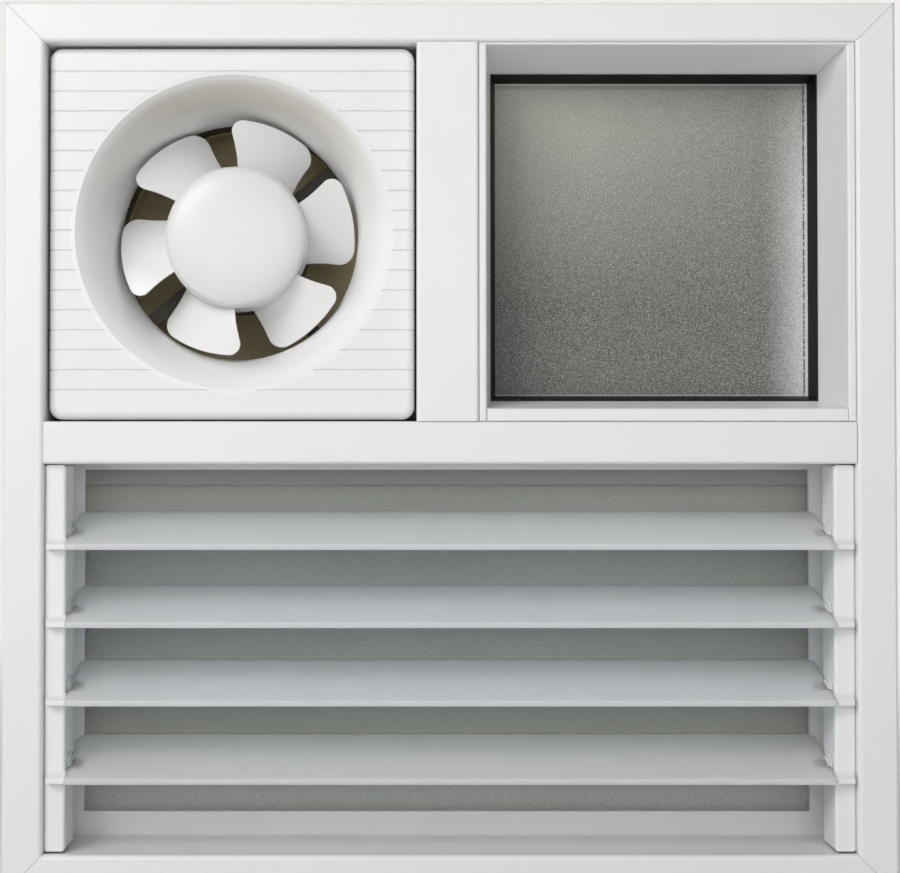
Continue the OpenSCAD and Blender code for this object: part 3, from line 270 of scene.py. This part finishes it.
def obscure_glass(name):
    """Deeply grained pane, bumped by its grain, with the room's light painted into its colour: paleness,
    shade, a highlight and glints.
    """
    g = Graph(name)
    low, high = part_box("obscure_pane")
    x, y, z = g.xyz()
    grain = g.noise(1050.0, 2.0, 0.7)
    body = g.mix(g.remap(grain, 0.36, 0.66), (0.065, 0.075, 0.065), (0.26, 0.28, 0.245))
    body = g.mix(g.remap(g.noise(9.0, 2.0, 0.5), 0.35, 0.65, 0.0, 0.3), body, (0.14, 0.16, 0.13))
    # painted light in the grain: painted paleness towards the top left, painted shade at the bottom left and
    # a painted highlight along the right
    lip = high[0] - 0.014                     # the gasket's inner edge
    across = g.remap(x, lip + 0.08, low[0] + 0.02)
    pale = g.math("MULTIPLY", g.remap(z, low[2] + 0.08, high[2] - 0.03), across)
    body = g.mix(g.math("MULTIPLY", pale, 0.75), body, (0.62, 0.615, 0.54))
    across = g.remap(x, lip, low[0] + 0.05)
    deep = g.math("MULTIPLY", g.remap(z, low[2] + 0.12, low[2] + 0.01), across)
    body = g.mix(g.math("MULTIPLY", deep, 0.1), body, (0.10, 0.12, 0.10))
    right_highlight = g.math("MULTIPLY", g.remap(x, lip - 0.034, lip - 0.002), g.remap(grain, 0.3, 0.6, 0.7, 1.0))
    right_highlight = g.math("MULTIPLY", right_highlight, g.remap(z, high[2], high[2] - 0.1, 0.5, 1.0))
    right_highlight = g.math("POWER", right_highlight, 1.6)
    body = g.mix(g.math("MULTIPLY", right_highlight, 0.95), body, (0.92, 0.95, 0.94))
    # painted glints: bright specks of painted highlight in the grain
    glint = g.remap(g.noise(1250.0, 0.0), 0.66, 0.74, 0.0, 0.8)
    body = g.mix(glint, body, (0.72, 0.75, 0.70))
    body = painted_rim_lines(g, body, lip, high[2] - 0.011, low[2] + 0.0146)
    normal = g.bump(grain, 0.0009, 1.0)
    return g.finish(Base_Color=body, Roughness=0.3, Normal=normal, IOR=1.5)


def painted_rim_lines(g, body, right, top, bottom):
    """Painted highlights and painted shade beside the gasket: light and dark hairlines painted where the
    pane's polished rim shows, and a painted shadow under the top gasket.
    """
    x, y, z = g.xyz()
    # painted shadow under the top gasket
    shade = g.math("MULTIPLY", g.band(z, top - 0.0040, top - 0.0012, 0.0010), 0.35)
    body = g.mix(shade, body, (0.06, 0.07, 0.055))
    # a broken dark hairline painted beside the right gasket
    gaps = g.remap(g.noise(600.0, 1.0), 0.38, 0.46)
    dark = g.math("MULTIPLY", g.band(x, right - 0.0033, right - 0.0022), gaps)
    body = g.mix(g.math("MULTIPLY", dark, 0.9), body, (0.006, 0.008, 0.007))
    # a broken painted highlight along the right rim
    beads = g.remap(g.noise(500.0, 1.0), 0.42, 0.52, 0.25, 1.0)
    bright = g.math("MULTIPLY", g.band(x, right - 0.0018, right - 0.0004), beads)
    body = g.mix(g.math("MULTIPLY", bright, 0.75), body, (0.80, 0.82, 0.80))
    # painted highlight hairlines along the top and bottom rims
    lines = g.math("ADD", g.band(z, top - 0.0010, top - 0.0003), g.band(z, bottom + 0.0003, bottom + 0.0010))
    return g.mix(g.math("MULTIPLY", lines, 0.5), body, (0.70, 0.71, 0.67))


def frosted_glass(name, colour):
    """Etched glass: light spreads inside its milky body."""
    g = Graph(name)
    tint = scaled(colour, 0.935, 0.955, 0.96)
    base = g.mix(g.remap(g.noise(16.0, 3.0, 0.55), 0.3, 0.7), colour, tint)
    dust = g.remap(g.noise(300.0, 3.0, 0.7), 0.6, 0.85, 0.0, 0.12)
    base = g.mix(dust, base, (0.55, 0.55, 0.52))
    normal = g.bump(g.noise(2400.0, 2.0), 0.00002, 0.5, g.soft_edges(0.0006))
    return g.finish(Base_Color=base, Roughness=0.38, Normal=normal, IOR=1.5, Subsurface_Weight=1.0,
                    Subsurface_Scale=0.05, Subsurface_Radius=(0.95, 1.0, 1.0))


# ---------- metal and mesh ----------

METAL_DUST_AND_SHADE = (0.16, 0.14, 0.11)
MESH_PITCH = 0.0011
PLATE_PITCH = 0.0005


def metal(name, colour, rough):
    """Metal with fine scratches drawn out along X and Z."""
    g = Graph(name)
    stretched = g.add("Mapping", {"Vector": g.where, "Scale": (1.0, 6.0, 1.0)}).outputs["Vector"]
    streak = g.noise(500.0, 3.0, 0.6, stretched)
    base = g.mix(g.remap(streak, 0.3, 0.7), colour, scaled(colour, 0.75, 0.75, 0.75))
    # painted shade: corners and grooves are darkened by ambient occlusion, in a dust colour
    base = g.mix(g.math("MULTIPLY", g.occlusion_shade(), 0.5), base, METAL_DUST_AND_SHADE)
    normal = g.bump(streak, 0.00002, 0.5, g.soft_edges(0.0003))
    gloss = g.remap(streak, 0.2, 0.8, rough - 0.06, rough + 0.1)
    return g.finish(Base_Color=base, Metallic=1.0, Roughness=gloss, Normal=normal)


def ribs(g, along, pitch):
    """0 to 1 and back once in each pitch."""
    return g.math("ABSOLUTE", g.math("SINE", g.math("MULTIPLY", along, math.pi / pitch)))


def woven_mesh(name):
    """Fine glass fibre insect mesh, whose threads and dust close it to the eye from a step away."""
    g = Graph(name)
    x, y, z = g.xyz()
    weave = g.math("MINIMUM", ribs(g, x, MESH_PITCH), ribs(g, z, MESH_PITCH))
    fluff = g.noise(520.0, 3.0, 0.75)
    thread = g.mix(g.remap(g.noise(6.0, 3.0), 0.3, 0.7), (0.45, 0.46, 0.41), (0.50, 0.51, 0.465))
    # painted light: the threads are painted paler towards the bottom, where light bounces up from the sill
    thread = g.mix(g.remap(z, 0.10, 0.055, 0.0, 0.8), thread, (0.74, 0.76, 0.72))
    base = g.mix(g.remap(weave, 0.25, 0.6, 0.0, 0.2), thread, (0.27, 0.28, 0.25))
    base = g.mix(g.remap(fluff, 0.35, 0.7, 0.0, 0.35), base, (0.29, 0.30, 0.265))
    drift = g.remap(g.noise(9.0), 0.45, 0.65, 0.0, 0.6)
    specks = g.math("MULTIPLY", g.remap(g.noise(1100.0, 1.0), 0.68, 0.76), drift)
    base = g.mix(specks, base, (0.62, 0.63, 0.58))
    normal = g.bump(fluff, 0.0002, 0.5)
    return g.finish(Base_Color=base, Roughness=0.75, Normal=normal, IOR=1.45)


def laminations(name):
    """Stacked steel plates across the motor's axis."""
    g = Graph(name)
    plates = ribs(g, g.xyz()[1], PLATE_PITCH)
    base = g.mix(plates, (0.10, 0.10, 0.10), (0.36, 0.36, 0.37))
    return g.finish(Base_Color=base, Metallic=0.9, Roughness=0.4, Normal=g.bump(plates, 0.0001))


def copper_wire(name):
    g = Graph(name)
    turns = g.add("TexWave", {"Vector": g.where, "Scale": 900.0, "Distortion": 3.0, "Detail": 1.0},
                  wave_type="RINGS", rings_direction="Y").outputs["Fac"]
    base = g.mix(turns, (0.20, 0.07, 0.03), (0.62, 0.27, 0.12))
    return g.finish(Base_Color=base, Metallic=0.8, Roughness=0.35, Normal=g.bump(turns, 0.0003))


# ---------- materials by the record's slots ----------

WHITE = (0.87, 0.87, 0.87)
MATERIALS = {
    "frame_white": white_plastic("frame_upvc", WHITE, 0.36, mitres=True),
    "bead_white": white_plastic("bead_upvc", WHITE, 0.36),
    "gasket_black": rubber("gasket_rubber"),
    "obscure_glass": obscure_glass("obscure_pane_glass"),
    "block_plastic": dusty_plastic("setting_block", (0.05, 0.12, 0.4), (0.2, 0.22, 0.3)),
    "fascia_white": white_plastic("fascia_abs", (0.845, 0.845, 0.85), 0.33, dust_and_shade=bell_dust_and_shade),
    "panel_white": white_plastic("panel_plastic", (0.74, 0.745, 0.74), 0.45),
    "duct_white": dusty_plastic("duct_plastic", (0.84, 0.75, 0.52), (0.62, 0.54, 0.34), amount=0.8,
                                air_side=in_duct),
    "flap_olive": dusty_plastic("flap_plastic", (0.74, 0.65, 0.43), (0.56, 0.47, 0.28), rough=0.6,
                                air_side=under_flap),
    "screw_steel": metal("zinc_plate", (0.62, 0.62, 0.63), 0.32),
    "motor_black": dark_paint("motor_enamel", (0.065, 0.055, 0.037)),
    "core_steel": laminations("core_plates"),
    "copper": copper_wire("winding_wire"),
    "bronze": metal("bush_bronze", (0.62, 0.42, 0.22), 0.35),
    "impeller_white": white_plastic("impeller_plastic", (0.80, 0.797, 0.79), 0.32, edge=0.0009),
    "channel_white": white_plastic("channel_plastic", WHITE, 0.36),
    "frosted_glass": frosted_glass("louvre_glass", (0.89, 0.945, 0.99)),
    "clip_plastic": white_plastic("clip_nylon", (0.80, 0.81, 0.82), 0.42),
    "screen_frame_grey": plain_paint("screen_frame_paint", (0.34, 0.35, 0.32)),
    "mesh_grey": woven_mesh("insect_mesh"),
}


def dress_solids():
    slots = {part["node"]: part["material_slot"] for part in frame["record"]["subparts"]}
    for node, obj in frame["nodes"].items():
        obj.data.materials.clear()
        obj.data.materials.append(MATERIALS[slots[node]])


# ---------- stage, lights and camera ----------

BACKDROP = (0.86, 0.845, 0.83)
FLOOR = (0.80, 0.79, 0.78)
FLOOR_SIZE = 12.0
FLOOR_DROP = 0.0002                           # how far the floor lies under the sill
FADE_START = 0.7                              # distance at which the floor starts to run into the backdrop
FADE_END = 2.0
SKY = (0.95, 0.97, 1.0)
SKY_STRENGTH = 0.21

# name, place, point aimed at, width and height, watts, colour
LAMPS = (
    ("key", (-1.35, -1.9, 1.6), (0, 0, 0.28), (1.3, 1.1), 33.0, (1.0, 0.995, 0.985)),
    ("front", (-0.1, -2.1, 0.65), (0, 0, 0.02), (1.8, 0.6), 9.5, (0.97, 0.985, 1.0)),
    ("rear", (0.7, 2.3, 1.7), (0, 0, 0.3), (1.6, 1.6), 34.0, (1.0, 1.0, 1.0)),
)

CAMERA_PLACE = (-0.0435, -1.300, 0.2896)
CAMERA_RISE = math.radians(1.08)              # how far it looks up
LENS = 73.34                                  # millimetres, on a sensor 36 mm wide
SENSOR_W = 36.0
SHIFT = (0.0708, -0.0017)


def sees_backdrop(add, link):
    """1 for the rays that should meet the pale backdrop: of the camera, and in gloss and glass."""
    rays = add("ShaderNodeLightPath")
    either = add("ShaderNodeMath")
    either.operation = "MAXIMUM"
    link(rays.outputs["Is Camera Ray"], either.inputs[0])
    link(rays.outputs["Is Glossy Ray"], either.inputs[1])
    any_of_them = add("ShaderNodeMath")
    any_of_them.operation = "MAXIMUM"
    link(either.outputs[0], any_of_them.inputs[0])
    link(rays.outputs["Is Transmission Ray"], any_of_them.inputs[1])
    return any_of_them.outputs[0]


def floor_material(name):
    """Pale ground that keeps the object's shadow and runs into the backdrop further out."""
    g = Graph(name)
    mottle = g.mix(g.noise(3.0, 2.0), FLOOR, scaled(FLOOR, 0.985, 0.985, 0.985))
    x, y, z = g.xyz()
    seen = sees_backdrop(g.tree.nodes.new, g.tree.links.new)
    near = g.add("BsdfPrincipled", {"Base Color": mottle, "Roughness": 0.9})
    far = g.add("Emission", {"Color": (*BACKDROP, 1.0)})
    fade = g.math("MULTIPLY", g.remap(g.distance(x, y), FADE_START, FADE_END), seen)
    return g.output(g.add("MixShader", {0: fade, 1: near.outputs[0], 2: far.outputs[0]}).outputs[0])


def build_stage():
    bpy.ops.mesh.primitive_plane_add(size=FLOOR_SIZE, location=(0, 0, -FLOOR_DROP))
    floor = bpy.context.object
    floor.name = "floor"
    floor.data.materials.append(floor_material("floor_paint"))


def build_world():
    """A soft sky that lights the object, and the plain backdrop that is seen."""
    world = bpy.data.worlds.new("studio")
    bpy.context.scene.world = world
    world.use_nodes = True
    tree = world.node_tree
    tree.nodes.clear()
    light = tree.nodes.new("ShaderNodeBackground")
    light.inputs["Color"].default_value = (*SKY, 1.0)
    light.inputs["Strength"].default_value = SKY_STRENGTH
    seen = tree.nodes.new("ShaderNodeBackground")
    seen.inputs["Color"].default_value = (*BACKDROP, 1.0)
    mix = tree.nodes.new("ShaderNodeMixShader")
    out = tree.nodes.new("ShaderNodeOutputWorld")
    tree.links.new(sees_backdrop(tree.nodes.new, tree.links.new), mix.inputs[0])
    tree.links.new(light.outputs[0], mix.inputs[1])
    tree.links.new(seen.outputs[0], mix.inputs[2])
    tree.links.new(mix.outputs[0], out.inputs["Surface"])


def area_light(name, place, target, size, watts, colour):
    data = bpy.data.lights.new(name, "AREA")
    data.shape = "RECTANGLE"
    data.size, data.size_y = size
    data.energy = watts
    data.color = colour
    lamp = bpy.data.objects.new(name, data)
    bpy.context.collection.objects.link(lamp)
    lamp.location = place
    lamp.rotation_euler = (Vector(target) - Vector(place)).to_track_quat("-Z", "Y").to_euler()


def build_camera():
    data = bpy.data.cameras.new("camera")
    data.lens = LENS
    data.sensor_width = SENSOR_W
    data.shift_x, data.shift_y = SHIFT
    camera = bpy.data.objects.new("camera", data)
    bpy.context.collection.objects.link(camera)
    camera.location = CAMERA_PLACE
    camera.rotation_euler = (math.radians(90) + CAMERA_RISE, 0, 0)
    bpy.context.scene.camera = camera


build_camera()
dress_solids()
build_stage()
build_world()
for lamp_values in LAMPS:
    area_light(*lamp_values)
bpy.context.scene.view_settings.view_transform = "Standard"
